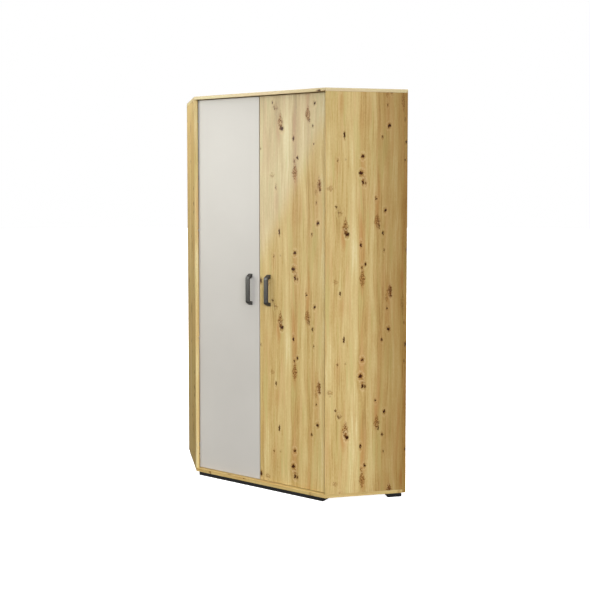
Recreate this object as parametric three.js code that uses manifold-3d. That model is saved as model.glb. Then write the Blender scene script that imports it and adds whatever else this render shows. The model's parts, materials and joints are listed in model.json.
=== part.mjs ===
// A corner wardrobe with a diagonal front and two doors, in millimetres, with +Z up.
// The origin is on the floor, under the middle of the wardrobe's bounding box.
// The front with the doors faces -Y, and the corner of the room is at +Y.

import * as THREE from "three";
import { mergeVertices } from "three/addons/utils/BufferGeometryUtils.js";
import Module from "manifold-3d";

const wasm = await Module();
wasm.setup();

// Overall sizes
const wall_width = 950; // along each of the two room walls
const side_depth = 400; // of each side, square to its wall
const overall_height = 1950;

// Boards
const carcass_board = 16;
const back_board = 16;
const door_board = 16;
const shelf_board = 16;
const seam = 0.3; // clearance between pieces that touch
const overrun = 2; // how far a cutting solid runs past what it cuts

// Plinth and feet
const plinth_height = 20;
const plinth_depth = 60;
const plinth_set_back = 6;
const plinth_end_inset = 15;
const foot_length = 70;
const foot_width = 60;
const foot_side_inset = 6;
const foot_rear_inset = 18;
const corner_foot_inset = 24;

// Doors
const door_recess = 20; // door front behind the diagonal edge of the top
const door_side_inset = 8; // door's outer edge from the front corner of the side
const door_end_gap = 3; // above and below a door
const door_meeting_gap = 4.5;

// Handles
const handle_spacing = 128; // between the two screws
const handle_length = 156;
const handle_grip_length = 127; // along the front of the bow
const handle_foot_length = 19; // on the door
const handle_width = 24;
const handle_standoff = 28;
const handle_thickness = 7;
const handle_bend = 9; // how far the bends reach along the grip
const handle_rounding = 2;
const handle_from_gap = 52.25; // handle's middle from the doors' meeting gap
const handle_screw_radius = 2;
const handle_screw_grip = 10; // screw's reach into the foot
const handle_screw_head_radius = 4.2;
const handle_screw_head_height = 2.2;
const handle_hole_clearance = 0.4;

// Hinges
const hinge_count = 4; // on each door
const hinge_end_distance = 100; // outer hinges from the ends of the door
const cup_bore_radius = 17.5;
const cup_bore_depth = 12;
const cup_bore_edge = 10.5; // from the bore's rim to the door's outer edge
const cup_wall = 1.2;
const cup_lip = 2; // ring round the mouth of the cup
const cup_flange = 1; // thickness of the ring and the ears
const cup_ear_width = 12;
const cup_ear_length = 12; // beyond the ring, at either side
const hinge_pin_radius = 1.6;
const hinge_pin_inset = 19; // from the door's outer edge
const hinge_pin_depth = 3; // inside the door's back face
const knuckle_radius = 3.4;
const knuckle_clearance = 0.4;
const arm_height = 12;
const arm_thickness = 3;
const arm_standoff = 12; // middle of the arm from the side panel's face
const plate_front = 48; // behind the side panel's front edge
const plate_length = 42;
const plate_height = 50;
const plate_thickness = 3;
const plate_block_height = 10;

// The arm's bends between its knuckle and its plate, as steps along the front and into the wardrobe
const arm_steps = {
  mouth_out: 13,
  mouth_in: 7.5,
  turn_out: 15.5,
  turn_in: 15,
  neck_out: 9.5,
  neck_in: 22,
  rear_out: -14.5,
  rear_in: 28,
};

// Upper shelf and its pins
const shelf_below_top = 300; // clear height over the shelf
const shelf_set_back = 61; // behind the diagonal edge of the top
const shelf_clearance = 0.5;
const pin_radius = 2.5;
const pin_depth = 8; // in the board
const pin_reach = 8; // under the shelf
const pin_side_front = 120; // from the front edge of the side panel
const pin_side_rear = 54; // from the back panel's inner face
const pin_back_spot = 475; // from the corner of the room

// Clothes rail
const rail_length = 800;
const rail_height = 30;
const rail_width = 15;
const rail_wall = 1.2;
const rail_drop = 50; // rail's middle under the shelf
const rail_behind_front = 365;
const rail_clearance = 0.3;
const hanger_inset = 45; // rail's end to the middle of its hanger
const hanger_width = 14;
const hanger_rim = 3;
const hanger_web = 12;
const hanger_flange_length = 48;
const hanger_flange = 2.5;

// Brackets that hold the wardrobe to the wall
const bracket_leg = 40;
const bracket_thickness = 2;
const bracket_width = 20;
const bracket_from_corner = 620;

// Facets of round shapes
const fine_facets = 24;
const small_facets = 12;
const bend_facets = 5;
const merge_distance = 1e-4;

// Derived places
const front_half_width = (wall_width - side_depth) * Math.SQRT1_2;
const body_depth = (wall_width + side_depth) * Math.SQRT1_2; // from the front to the corner of the room
const handle_overhang = Math.max(0, handle_standoff + seam - door_recess); // handles ahead of the front
const corner_y = (body_depth + handle_overhang) / 2;
const front_y = corner_y - body_depth;
const floor_top = plinth_height + carcass_board; // upper face of the bottom panel
const ceiling = overall_height - carcass_board; // lower face of the top panel
const door_low = floor_top + door_end_gap;
const door_high = ceiling - door_end_gap;
const door_outer = front_half_width - door_side_inset;
const door_inner = door_meeting_gap / 2;
const door_front_y = front_y + door_recess;
const door_back_y = door_front_y + door_board;
const mid_height = (door_low + door_high) / 2;
const shelf_top = ceiling - shelf_below_top;
const shelf_low = shelf_top - shelf_board;
const left_way = new THREE.Vector3(-Math.SQRT1_2, -Math.SQRT1_2, 0); // along the left wall
const right_way = new THREE.Vector3(Math.SQRT1_2, -Math.SQRT1_2, 0); // along the right wall
const up = new THREE.Vector3(0, 0, 1);
const sides = [
  { name: "left", sign: -1 },
  { name: "right", sign: 1 },
];

// Materials
const oak = new THREE.MeshStandardMaterial({ color: 0xd2b578, roughness: 0.6, metalness: 0 });
const pale = new THREE.MeshStandardMaterial({ color: 0xd9d5cb, roughness: 0.7, metalness: 0 });
const graphite = new THREE.MeshStandardMaterial({ color: 0x4a4844, roughness: 0.5, metalness: 0.2 });
const plastic = new THREE.MeshStandardMaterial({ color: 0x1e1e20, roughness: 0.7, metalness: 0 });
const steel = new THREE.MeshStandardMaterial({ color: 0xb4b6b8, roughness: 0.35, metalness: 1 });

const wardrobe = new THREE.Group();

function piece(name, geometry, material) {
  const mesh = new THREE.Mesh(geometry, material);
  mesh.name = name;
  wardrobe.add(mesh);
}

// Shape helpers

// A closed geometry as a solid that can be joined and cut. Faces that shrink to a line are left out.
function solid(geometry) {
  const bare = geometry.clone();
  bare.deleteAttribute("normal");
  bare.deleteAttribute("uv");
  const merged = mergeVertices(bare, merge_distance);
  const index = merged.index.array;
  const faces = [];
  for (let i = 0; i < index.length; i += 3) {
    const [a, b, c] = [index[i], index[i + 1], index[i + 2]];
    if (a !== b && b !== c && c !== a) {
      faces.push(a, b, c);
    }
  }
  const vertProperties = merged.attributes.position.array;
  return new wasm.Manifold(new wasm.Mesh({ numProp: 3, vertProperties, triVerts: new Uint32Array(faces) }));
}

function geometryOf(body) {
  const mesh = body.getMesh();
  const geometry = new THREE.BufferGeometry();
  geometry.setAttribute("position", new THREE.BufferAttribute(mesh.vertProperties, 3));
  geometry.setIndex(new THREE.BufferAttribute(mesh.triVerts, 1));
  geometry.computeVertexNormals();
  return geometry;
}

function joined(first, ...others) {
  return others.reduce((body, other) => body.add(solid(other)), solid(first));
}

function cut(body, tools) {
  return tools.reduce((rest, tool) => rest.subtract(solid(tool)), body);
}

// An upright prism on a plan outline.
function prism(outline, low, high) {
  const shape = outline.isShape ? outline : new THREE.Shape(outline);
  const options = { depth: high - low, bevelEnabled: false, curveSegments: bend_facets };
  return new THREE.ExtrudeGeometry(shape, options).translate(0, 0, low);
}

function box(low_x, high_x, low_y, high_y, low_z, high_z) {
  const size = new THREE.BoxGeometry(high_x - low_x, high_y - low_y, high_z - low_z);
  return size.translate((low_x + high_x) / 2, (low_y + high_y) / 2, (low_z + high_z) / 2);
}

// A profile extruded to a width, centred on a point, with its own across, up and width directions.
function extruded(shape, width, origin, across, upward, rounding = 0) {
  const options = {
    depth: width - 2 * rounding,
    curveSegments: bend_facets,
    bevelEnabled: rounding > 0,
    bevelThickness: rounding,
    bevelSize: rounding,
    bevelOffset: -rounding,
    bevelSegments: 2,
  };
  const along = new THREE.Vector3().crossVectors(across, upward);
  const place = new THREE.Matrix4().makeBasis(across, upward, along).setPosition(origin);
  return new THREE.ExtrudeGeometry(shape, options).translate(0, 0, rounding - width / 2).applyMatrix4(place);
}

// A round rod between two points.
function rod(start, end, radius, facets = small_facets) {
  const run = new THREE.Vector3().subVectors(end, start);
  const turn = new THREE.Quaternion().setFromUnitVectors(new THREE.Vector3(0, 1, 0), run.clone().normalize());
  const middle = new THREE.Vector3().addVectors(start, end).divideScalar(2);
  return new THREE.CylinderGeometry(radius, radius, run.length(), facets).applyQuaternion(turn).translate(
    middle.x,
    middle.y,
    middle.z,
  );
}

// The outline of a strip of even thickness that follows a line of points.
function strip(points, thickness) {
  const half = thickness / 2;
  const rims = points.map((point, i) => {
    const before = points[Math.max(i - 1, 0)];
    const after = points[Math.min(i + 1, points.length - 1)];
    const arrive = new THREE.Vector2().subVectors(i ? point : after, before).normalize();
    const leave = new THREE.Vector2().subVectors(after, i < points.length - 1 ? point : before).normalize();
    const normal = new THREE.Vector2(-arrive.y - leave.y, arrive.x + leave.x).normalize();
    const stretch = half / (normal.x * -arrive.y + normal.y * arrive.x);
    return [point.clone().addScaledVector(normal, stretch), point.clone().addScaledVector(normal, -stretch)];
  });
  return [...rims.map((rim) => rim[0]), ...rims.map((rim) => rim[1]).reverse()];
}

// A long oval outline, flat on its two long sides.
function oval(height, width, middle_y, middle_z) {
  const radius = width / 2;
  const straight = height / 2 - radius;
  const shape = new THREE.Shape();
  shape.absarc(middle_y, middle_z + straight, radius, 0, Math.PI, false);
  shape.absarc(middle_y, middle_z - straight, radius, Math.PI, 2 * Math.PI, false);
  shape.closePath();
  return shape;
}

// Plan helpers

// A plan point from its distances along the left wall and the right wall, from the corner of the room.
function plan(left, right) {
  return new THREE.Vector2((right - left) * Math.SQRT1_2, corner_y - (left + right) * Math.SQRT1_2);
}

// The same point at a height.
function spot(left, right, z) {
  const flat = plan(left, right);
  return new THREE.Vector3(flat.x, flat.y, z);
}

// A plan point from its distance in from a front corner, along the front, and its depth behind the front.
function frontPoint(side, inset, depth) {
  return new THREE.Vector2(side.sign * (front_half_width - inset), front_y + depth);
}

// A plan point on or off a side panel's inner face, from its distance behind the panel's front edge.
function facePoint(side, behind, off) {
  const inset = (carcass_board - behind + off) * Math.SQRT1_2;
  const depth = (carcass_board + behind + off) * Math.SQRT1_2;
  return frontPoint(side, inset, depth);
}

// An upright board between two distances along each wall.
function wallBoard(low_left, high_left, low_right, high_right, low, high) {
  const corners = [
    plan(low_left, low_right),
    plan(high_left, low_right),
    plan(high_left, high_right),
    plan(low_left, high_right),
  ];
  return prism(corners, low, high);
}

// A five-sided board that fills the corner, from an inset at the walls out to the sides and the front.
function cornerBoard(inset, reach, front_sum, low, high) {
  const corners = [
    plan(inset, inset),
    plan(reach, inset),
    plan(reach, front_sum - reach),
    plan(front_sum - reach, reach),
    plan(inset, reach),
  ];
  return prism(corners, low, high);
}

// Upper shelf pins: the board that each goes into, and its run from inside the board to under the shelf
function shelfPins() {
  const height = shelf_low - seam - pin_radius;
  const side_face = wall_width - carcass_board;
  const out = side_face + pin_depth;
  const inward = side_face - pin_reach;
  const back_out = back_board - pin_depth;
  const back_in = back_board + pin_reach;
  const pins = [];
  for (const across of [side_depth - pin_side_front, back_board + pin_side_rear]) {
    pins.push({ board: "left_side", start: spot(out, across, height), end: spot(inward, across, height) });
    pins.push({ board: "right_side", start: spot(across, out, height), end: spot(across, inward, height) });
  }
  pins.push({
    board: "left_back",
    start: spot(pin_back_spot, back_out, height),
    end: spot(pin_back_spot, back_in, height),
  });
  pins.push({
    board: "right_back",
    start: spot(back_out, pin_back_spot, height),
    end: spot(back_in, pin_back_spot, height),
  });
  return pins;
}

const pins = shelfPins();

// The holes that a board needs for its shelf pins.
function pinHoles(board) {
  return pins
    .filter((pin) => pin.board === board)
    .map((pin) => {
      const way = new THREE.Vector3().subVectors(pin.start, pin.end).normalize();
      return rod(pin.end, pin.start.clone().addScaledVector(way, seam), pin_radius + seam);
    });
}

// Carcass boards
function makeCarcass() {
  const front_sum = wall_width + side_depth;
  const inside = back_board + seam;
  piece("top_panel", cornerBoard(0, wall_width, front_sum, ceiling, overall_height), oak);
  piece("bottom_panel", cornerBoard(inside, wall_width, front_sum, plinth_height, floor_top), oak);

  const back_top = ceiling - seam;
  const right_back = wallBoard(0, back_board, 0, wall_width, plinth_height, back_top);
  const left_back = wallBoard(inside, wall_width, 0, back_board, plinth_height, back_top);
  piece("right_back_panel", geometryOf(cut(solid(right_back), pinHoles("right_back"))), oak);
  piece("left_back_panel", geometryOf(cut(solid(left_back), pinHoles("left_back"))), oak);

  const side_low = floor_top + seam;
  const inner_face = wall_width - carcass_board;
  const left_side = wallBoard(inner_face, wall_width, inside, side_depth, side_low, back_top);
  const right_side = wallBoard(inside, side_depth, inner_face, wall_width, side_low, back_top);
  piece("left_side_panel", geometryOf(cut(solid(left_side), pinHoles("left_side"))), oak);
  piece("right_side_panel", geometryOf(cut(solid(right_side), pinHoles("right_side"))), oak);
}

// Plinth bar under the front edge, a foot at the rear of each side and one in the corner
function makeFeet() {
  const top = plinth_height - seam;
  const half = front_half_width - plinth_end_inset;
  const plinth_front = front_y + plinth_set_back;
  piece("plinth_bar", box(-half, half, plinth_front, plinth_front + plinth_depth, 0, top), plastic);

  const outer = wall_width - foot_side_inset;
  const rear_end = foot_rear_inset + foot_length;
  const left_foot = wallBoard(outer - foot_width, outer, foot_rear_inset, rear_end, 0, top);
  const right_foot = wallBoard(foot_rear_inset, rear_end, outer - foot_width, outer, 0, top);
  const corner_end = corner_foot_inset + foot_length;
  const corner_foot = wallBoard(corner_foot_inset, corner_end, corner_foot_inset, corner_end, 0, top);
  piece("left_rear_foot", left_foot, plastic);
  piece("right_rear_foot", right_foot, plastic);
  piece("corner_foot", corner_foot, plastic);
}

// Doors, each with bores for its hinge cups and through holes for its handle
const hinge_span = door_high - door_low - 2 * hinge_end_distance;
const hinge_heights = Array.from(
  { length: hinge_count },
  (_, i) => door_low + hinge_end_distance + (hinge_span * i) / (hinge_count - 1),
);
const cup_inset = door_side_inset + cup_bore_edge + cup_bore_radius;
const handle_middle = door_inner + handle_from_gap;
const handle_screw_heights = [mid_height - handle_spacing / 2, mid_height + handle_spacing / 2];

function makeDoor(side, material) {
  const [near, far] = [side.sign * door_inner, side.sign * door_outer];
  const panel = box(Math.min(near, far), Math.max(near, far), door_front_y, door_back_y, door_low, door_high);
  const cup = frontPoint(side, cup_inset, 0);
  const bores = hinge_heights.map((z) => {
    const mouth = new THREE.Vector3(cup.x, door_back_y + overrun, z);
    const bottom = new THREE.Vector3(cup.x, door_back_y - cup_bore_depth, z);
    return rod(bottom, mouth, cup_bore_radius, fine_facets);
  });
  const handle_x = side.sign * handle_middle;
  const holes = handle_screw_heights.map((z) => {
    const outside = new THREE.Vector3(handle_x, door_front_y - overrun, z);
    const inside = new THREE.Vector3(handle_x, door_back_y + overrun, z);
    return rod(outside, inside, handle_screw_radius + handle_hole_clearance);
  });
  piece(`${side.name}_door`, geometryOf(cut(solid(panel), [...bores, ...holes])), material);
}

// A bow handle: a straight grip on two legs that slope out to their feet
function handleProfile() {
  const end = handle_length / 2;
  const grip_end = handle_grip_length / 2;
  const inner_foot = end - handle_foot_length;
  const inner_out = handle_standoff - handle_thickness;
  const inner_end = grip_end - handle_thickness;
  const shape = new THREE.Shape();
  shape.moveTo(0, end);
  for (const way of [1, -1]) {
    const outer_bend = new THREE.Vector2(handle_standoff, way * grip_end);
    const foot_way = new THREE.Vector2(0, way * end).sub(outer_bend).normalize();
    const on_leg = outer_bend.clone().addScaledVector(foot_way, handle_bend);
    const on_grip = new THREE.Vector2(handle_standoff, way * (grip_end - handle_bend));
    const [first, last] = way > 0 ? [on_leg, on_grip] : [on_grip, on_leg];
    shape.lineTo(first.x, first.y);
    shape.quadraticCurveTo(outer_bend.x, outer_bend.y, last.x, last.y);
  }
  shape.lineTo(0, -end);
  shape.lineTo(0, -inner_foot);
  for (const way of [-1, 1]) {
    const inner_bend = new THREE.Vector2(inner_out, way * inner_end);
    const foot_way = new THREE.Vector2(0, way * inner_foot).sub(inner_bend).normalize();
    const on_leg = inner_bend.clone().addScaledVector(foot_way, handle_bend);
    const on_grip = new THREE.Vector2(inner_out, way * (inner_end - handle_bend));
    const [first, last] = way < 0 ? [on_leg, on_grip] : [on_grip, on_leg];
    shape.lineTo(first.x, first.y);
    shape.quadraticCurveTo(inner_bend.x, inner_bend.y, last.x, last.y);
  }
  shape.lineTo(0, inner_foot);
  shape.closePath();
  return shape;
}

function makeHandle(side) {
  const x = side.sign * handle_middle;
  const base_y = door_front_y - seam;
  const origin = new THREE.Vector3(x, base_y, mid_height);
  const outward = new THREE.Vector3(0, -1, 0);
  const bow = extruded(handleProfile(), handle_width, origin, outward, up, handle_rounding);
  const hole_radius = handle_screw_radius + seam;
  const tip_y = base_y - handle_screw_grip;
  const holes = handle_screw_heights.map((z) => {
    const mouth = new THREE.Vector3(x, base_y + overrun, z);
    const bottom = new THREE.Vector3(x, tip_y - seam, z);
    return rod(bottom, mouth, hole_radius);
  });
  piece(`${side.name}_handle`, geometryOf(cut(solid(bow), holes)), graphite);

  const head_y = door_back_y + seam;
  const outline = [
    new THREE.Vector2(0, tip_y),
    new THREE.Vector2(handle_screw_radius, tip_y),
    new THREE.Vector2(handle_screw_radius, head_y),
    new THREE.Vector2(handle_screw_head_radius, head_y),
    new THREE.Vector2(handle_screw_head_radius, head_y + handle_screw_head_height),
    new THREE.Vector2(0, head_y + handle_screw_head_height),
  ];
  handle_screw_heights.forEach((z, i) => {
    const screw = new THREE.LatheGeometry(outline, small_facets).translate(x, 0, z);
    const place = i === 0 ? "lower" : "upper";
    piece(`${side.name}_handle_${place}_screw`, geometryOf(solid(screw)), steel);
  });
}

// Hinges: a cup in the door, a cranked arm that turns on the cup's pin, and a plate on the side panel
const pin_front_inset = door_side_inset + hinge_pin_inset;
const pin_front_depth = door_recess + door_board - hinge_pin_depth;

function hingeCup(side, z) {
  const centre = frontPoint(side, cup_inset, 0);
  const outer = cup_bore_radius - seam;
  const inner = outer - cup_wall;
  const bottom = door_back_y - cup_bore_depth + seam;
  const seat = door_back_y + seam;
  const rim = seat + cup_flange;
  const lip = cup_bore_radius + cup_lip;
  const outline = [
    new THREE.Vector2(0, bottom),
    new THREE.Vector2(outer, bottom),
    new THREE.Vector2(outer, seat),
    new THREE.Vector2(lip, seat),
    new THREE.Vector2(lip, rim),
    new THREE.Vector2(inner, rim),
    new THREE.Vector2(inner, bottom + cup_wall),
    new THREE.Vector2(0, bottom + cup_wall),
  ];
  const cup = new THREE.LatheGeometry(outline, fine_facets).translate(centre.x, 0, z);
  const half_ear = cup_ear_width / 2;
  const ear_end = lip + cup_ear_length;
  const ear_start = Math.sqrt(outer ** 2 - half_ear ** 2);
  const ears = [-1, 1].map((way) => {
    const [near, far] = [z + way * ear_start, z + way * ear_end];
    const [low, high] = [Math.min(near, far), Math.max(near, far)];
    return box(centre.x - half_ear, centre.x + half_ear, seat, rim, low, high);
  });
  const pin_spot = frontPoint(side, pin_front_inset, pin_front_depth);
  const off_centre = cup_inset - pin_front_inset;
  const pin_half = Math.sqrt((outer - seam) ** 2 - (off_centre + hinge_pin_radius) ** 2);
  const pin_low = new THREE.Vector3(pin_spot.x, pin_spot.y, z - pin_half);
  const pin_high = new THREE.Vector3(pin_spot.x, pin_spot.y, z + pin_half);
  return geometryOf(joined(cup, ...ears, rod(pin_low, pin_high, hinge_pin_radius)));
}

function hingeArm(side, z) {
  const [low, high] = [z - arm_height / 2, z + arm_height / 2];
  const step = (out, inward) => frontPoint(side, pin_front_inset + out, pin_front_depth + inward);
  const knuckle = step(0, 0);
  const line = [
    knuckle,
    step(arm_steps.mouth_out, arm_steps.mouth_in),
    step(arm_steps.turn_out, arm_steps.turn_in),
    step(arm_steps.neck_out, arm_steps.neck_in),
    step(arm_steps.rear_out, arm_steps.rear_in),
    facePoint(side, plate_front, arm_standoff),
    facePoint(side, plate_front + plate_length, arm_standoff),
  ];
  const ends = [new THREE.Vector3(knuckle.x, knuckle.y, low), new THREE.Vector3(knuckle.x, knuckle.y, high)];
  const body = joined(prism(strip(line, arm_thickness), low, high), rod(...ends, knuckle_radius));
  const pin_ends = [
    new THREE.Vector3(knuckle.x, knuckle.y, low - overrun),
    new THREE.Vector3(knuckle.x, knuckle.y, high + overrun),
  ];
  return geometryOf(cut(body, [rod(...pin_ends, hinge_pin_radius + knuckle_clearance)]));
}

// A block with four upright edges on a side panel's inner face.
function faceBlock(side, behind_low, behind_high, off_low, off_high, z, height) {
  const corners = [
    facePoint(side, behind_low, off_low),
    facePoint(side, behind_high, off_low),
    facePoint(side, behind_high, off_high),
    facePoint(side, behind_low, off_high),
  ];
  return prism(corners, z - height / 2, z + height / 2);
}

function hingePlate(side, z) {
  const end = plate_front + plate_length;
  const block_top = arm_standoff - arm_thickness / 2 - seam;
  const plate = faceBlock(side, plate_front, end, seam, seam + plate_thickness, z, plate_height);
  const block = faceBlock(side, plate_front, end, seam, block_top, z, plate_block_height);
  return geometryOf(joined(plate, block));
}

function makeHinges(side) {
  hinge_heights.forEach((z, i) => {
    piece(`${side.name}_hinge_cup_${i + 1}`, hingeCup(side, z), steel);
    piece(`${side.name}_hinge_arm_${i + 1}`, hingeArm(side, z), steel);
    piece(`${side.name}_hinge_plate_${i + 1}`, hingePlate(side, z), steel);
  });
}

// Upper shelf on its pins
function makeShelf() {
  const front_sum = wall_width + side_depth - shelf_set_back * Math.SQRT2;
  const reach = wall_width - carcass_board - shelf_clearance;
  const shelf = cornerBoard(back_board + shelf_clearance, reach, front_sum, shelf_low, shelf_top);
  piece("upper_shelf", shelf, oak);
  pins.forEach((pin, i) => {
    piece(`shelf_pin_${i + 1}`, rod(pin.start, pin.end, pin_radius), steel);
  });
}

// Oval clothes rail, hung under the upper shelf
function makeRail() {
  const across = new THREE.Vector3(0, 1, 0);
  const rail_y = front_y + rail_behind_front;
  const rail_z = shelf_low - rail_drop;
  const tube = oval(rail_height, rail_width, 0, 0);
  tube.holes.push(oval(rail_height - 2 * rail_wall, rail_width - 2 * rail_wall, 0, 0));
  const middle = new THREE.Vector3(0, rail_y, rail_z);
  piece("clothes_rail", extruded(tube, rail_length, middle, across, up), steel);

  const gap_height = rail_height + 2 * rail_clearance;
  const gap_width = rail_width + 2 * rail_clearance;
  const ring = oval(gap_height + 2 * hanger_rim, gap_width + 2 * hanger_rim, 0, 0);
  const gap = oval(gap_height, gap_width, 0, 0);
  const flange_top = shelf_low - seam;
  const half_flange = hanger_flange_length / 2;
  const half_web = hanger_web / 2;
  for (const side of sides) {
    const x = side.sign * (rail_length / 2 - hanger_inset);
    const origin = new THREE.Vector3(x, rail_y, rail_z);
    const [low_x, high_x] = [x - hanger_width / 2, x + hanger_width / 2];
    const flange_low = flange_top - hanger_flange;
    const flange = box(low_x, high_x, rail_y - half_flange, rail_y + half_flange, flange_low, flange_top);
    const web_low = rail_z + gap_height / 2;
    const web = box(low_x, high_x, rail_y - half_web, rail_y + half_web, web_low, flange_top);
    const body = joined(extruded(ring, hanger_width, origin, across, up), flange, web);
    const hole = extruded(gap, hanger_width + 2 * overrun, origin, across, up);
    piece(`${side.name}_rail_hanger`, geometryOf(cut(body, [hole])), steel);
  }
}

// Angle brackets in the top of the wardrobe, for screws through the backs into the walls
function makeWallBrackets() {
  const shape = new THREE.Shape([
    new THREE.Vector2(0, 0),
    new THREE.Vector2(bracket_leg, 0),
    new THREE.Vector2(bracket_leg, -bracket_thickness),
    new THREE.Vector2(bracket_thickness, -bracket_thickness),
    new THREE.Vector2(bracket_thickness, -bracket_leg),
    new THREE.Vector2(0, -bracket_leg),
  ]);
  const off = back_board + seam;
  const height = ceiling - seam;
  const left_origin = spot(bracket_from_corner, off, height);
  const right_origin = spot(off, bracket_from_corner, height);
  piece("left_wall_bracket", extruded(shape, bracket_width, left_origin, right_way, up), steel);
  piece("right_wall_bracket", extruded(shape, bracket_width, right_origin, left_way, up), steel);
}

makeCarcass();
makeFeet();
makeDoor(sides[0], pale);
makeDoor(sides[1], oak);
sides.forEach(makeHandle);
sides.forEach(makeHinges);
makeShelf();
makeRail();
makeWallBrackets();

export default wardrobe;
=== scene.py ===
# A corner wardrobe with a diagonal front and two doors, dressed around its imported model, in metres.

import json
import math
from collections import namedtuple

import bmesh
import bpy
from mathutils import Matrix, Vector


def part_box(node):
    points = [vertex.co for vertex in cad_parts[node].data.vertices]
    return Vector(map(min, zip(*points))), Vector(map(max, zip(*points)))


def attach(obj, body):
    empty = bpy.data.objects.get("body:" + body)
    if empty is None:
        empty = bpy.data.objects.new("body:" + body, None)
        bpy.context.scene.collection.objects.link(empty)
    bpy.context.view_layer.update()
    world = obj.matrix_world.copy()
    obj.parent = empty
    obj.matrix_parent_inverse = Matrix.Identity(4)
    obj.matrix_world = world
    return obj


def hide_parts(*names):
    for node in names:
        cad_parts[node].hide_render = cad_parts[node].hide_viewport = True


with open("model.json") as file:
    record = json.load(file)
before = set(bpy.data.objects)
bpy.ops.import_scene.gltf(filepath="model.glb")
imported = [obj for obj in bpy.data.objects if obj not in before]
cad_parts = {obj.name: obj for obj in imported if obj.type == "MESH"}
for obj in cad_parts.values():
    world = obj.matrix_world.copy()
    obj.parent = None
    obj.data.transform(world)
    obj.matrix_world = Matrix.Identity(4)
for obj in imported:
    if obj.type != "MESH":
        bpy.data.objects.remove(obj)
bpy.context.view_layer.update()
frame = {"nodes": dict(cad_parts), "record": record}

scene = bpy.context.scene
MM = 0.001
DIAGONAL = math.sqrt(0.5)
X, Y, Z = Vector((1, 0, 0)), Vector((0, 1, 0)), Vector((0, 0, 1))
LEFT_WAY = Vector((-DIAGONAL, -DIAGONAL, 0))  # along the left wall, away from the corner
RIGHT_WAY = Vector((DIAGONAL, -DIAGONAL, 0))  # along the right wall, away from the corner


# Node helpers
def feed(tree, socket, value):
    """Links an output to a socket, or sets the socket to a plain value."""
    if isinstance(value, bpy.types.NodeSocket):
        tree.links.new(value, socket)
    else:
        socket.default_value = value


def add(tree, kind, inputs=(), **settings):
    """A new node with its settings, fed with inputs given by name or number."""
    node = tree.nodes.new(kind)
    for name, value in settings.items():
        setattr(node, name, value)
    for key, value in dict(inputs).items():
        feed(tree, node.inputs[key], value)
    return node


def calc(tree, operation, *values):
    return add(tree, "ShaderNodeMath", enumerate(values), operation=operation).outputs[0]


def times(tree, first, second):
    return calc(tree, "MULTIPLY", first, second)


def line(tree, value, slope, start):
    """A value times a slope, plus a start."""
    return calc(tree, "MULTIPLY_ADD", value, slope, start)


def total(tree, first, *more):
    for value in more:
        first = calc(tree, "ADD", first, value)
    return first


def within(tree, value, low=0.0, high=1.0):
    return calc(tree, "MINIMUM", calc(tree, "MAXIMUM", value, low), high)


def centred(tree, value, share):
    """Moves a value that lies round a half to lie round zero, and takes a share of it."""
    return times(tree, calc(tree, "SUBTRACT", value, 0.5), share)


def length(tree, x, y):
    return calc(tree, "SQRT", line(tree, x, x, times(tree, y, y)))


def join(tree, x=0.0, y=0.0, z=0.0):
    return add(tree, "ShaderNodeCombineXYZ", enumerate((x, y, z))).outputs[0]


def split(tree, vector):
    return add(tree, "ShaderNodeSeparateXYZ", {0: vector}).outputs


def remap(tree, value, low, high, to_low=0.0, to_high=1.0):
    """A smooth step from one range to another."""
    inputs = {"Value": value, "From Min": low, "From Max": high, "To Min": to_low, "To Max": to_high}
    return add(tree, "ShaderNodeMapRange", inputs, interpolation_type="SMOOTHSTEP").outputs["Result"]


def noise(tree, place, scale=1.0, detail=2.0, result="Fac"):
    inputs = {"Vector": place, "Scale": scale, "Detail": detail, "Roughness": 0.5}
    return add(tree, "ShaderNodeTexNoise", inputs).outputs[result]


MIX_SHARE, MIX_FIRST, MIX_SECOND, MIX_RESULT = 0, 6, 7, 2  # a mix node's sockets when it mixes colours


def mix(tree, share, first, second, blend_type="MIX"):
    inputs = {MIX_SHARE: share, MIX_FIRST: first, MIX_SECOND: second}
    return add(tree, "ShaderNodeMix", inputs, data_type="RGBA", blend_type=blend_type).outputs[MIX_RESULT]


def ramp(tree, value, stops):
    """A colour ramp with stops given as place and colour."""
    node = add(tree, "ShaderNodeValToRGB", {"Fac": value})
    elements = node.color_ramp.elements
    while len(elements) < len(stops):
        elements.new(0.5)
    for element, (position, colour) in zip(elements, stops):
        element.position = position
        element.color = colour
    return node.outputs["Color"]


def tint(red, green, blue):
    """A display colour, 0 to 255, as a linear one, by the standard screen curve."""
    parts = [c / 255 for c in (red, green, blue)]
    return (*[c / 12.92 if c <= 0.04045 else ((c + 0.055) / 1.055) ** 2.4 for c in parts], 1.0)


def grey(value):
    return (value, value, value, 1.0)


def group(name, inputs, outputs):
    """An empty node group with its sockets, its input node's outputs and its output node."""
    tree = bpy.data.node_groups.new(name, "ShaderNodeTree")
    for direction, sockets in (("INPUT", inputs), ("OUTPUT", outputs)):
        for socket, kind in sockets:
            tree.interface.new_socket(socket, in_out=direction, socket_type=f"NodeSocket{kind}")
    return tree, add(tree, "NodeGroupInput").outputs, add(tree, "NodeGroupOutput").inputs


def material(name, roughness=0.5, metallic=0.0, colour=None, **sockets):
    """A new material with a Principled shader, its tree and its shader."""
    made = bpy.data.materials.new(name)
    made.use_nodes = True
    tree = made.node_tree
    shader = tree.nodes["Principled BSDF"]
    shader.inputs["Roughness"].default_value = roughness
    shader.inputs["Metallic"].default_value = metallic
    if colour is not None:
        shader.inputs["Base Color"].default_value = colour
    for socket, value in sockets.items():
        shader.inputs[socket.replace("_", " ")].default_value = value
    return made, tree, shader


def bump(tree, shader, height, distance, strength):
    inputs = {"Height": height, "Distance": distance, "Strength": strength}
    tree.links.new(add(tree, "ShaderNodeBump", inputs).outputs["Normal"], shader.inputs["Normal"])


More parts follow.
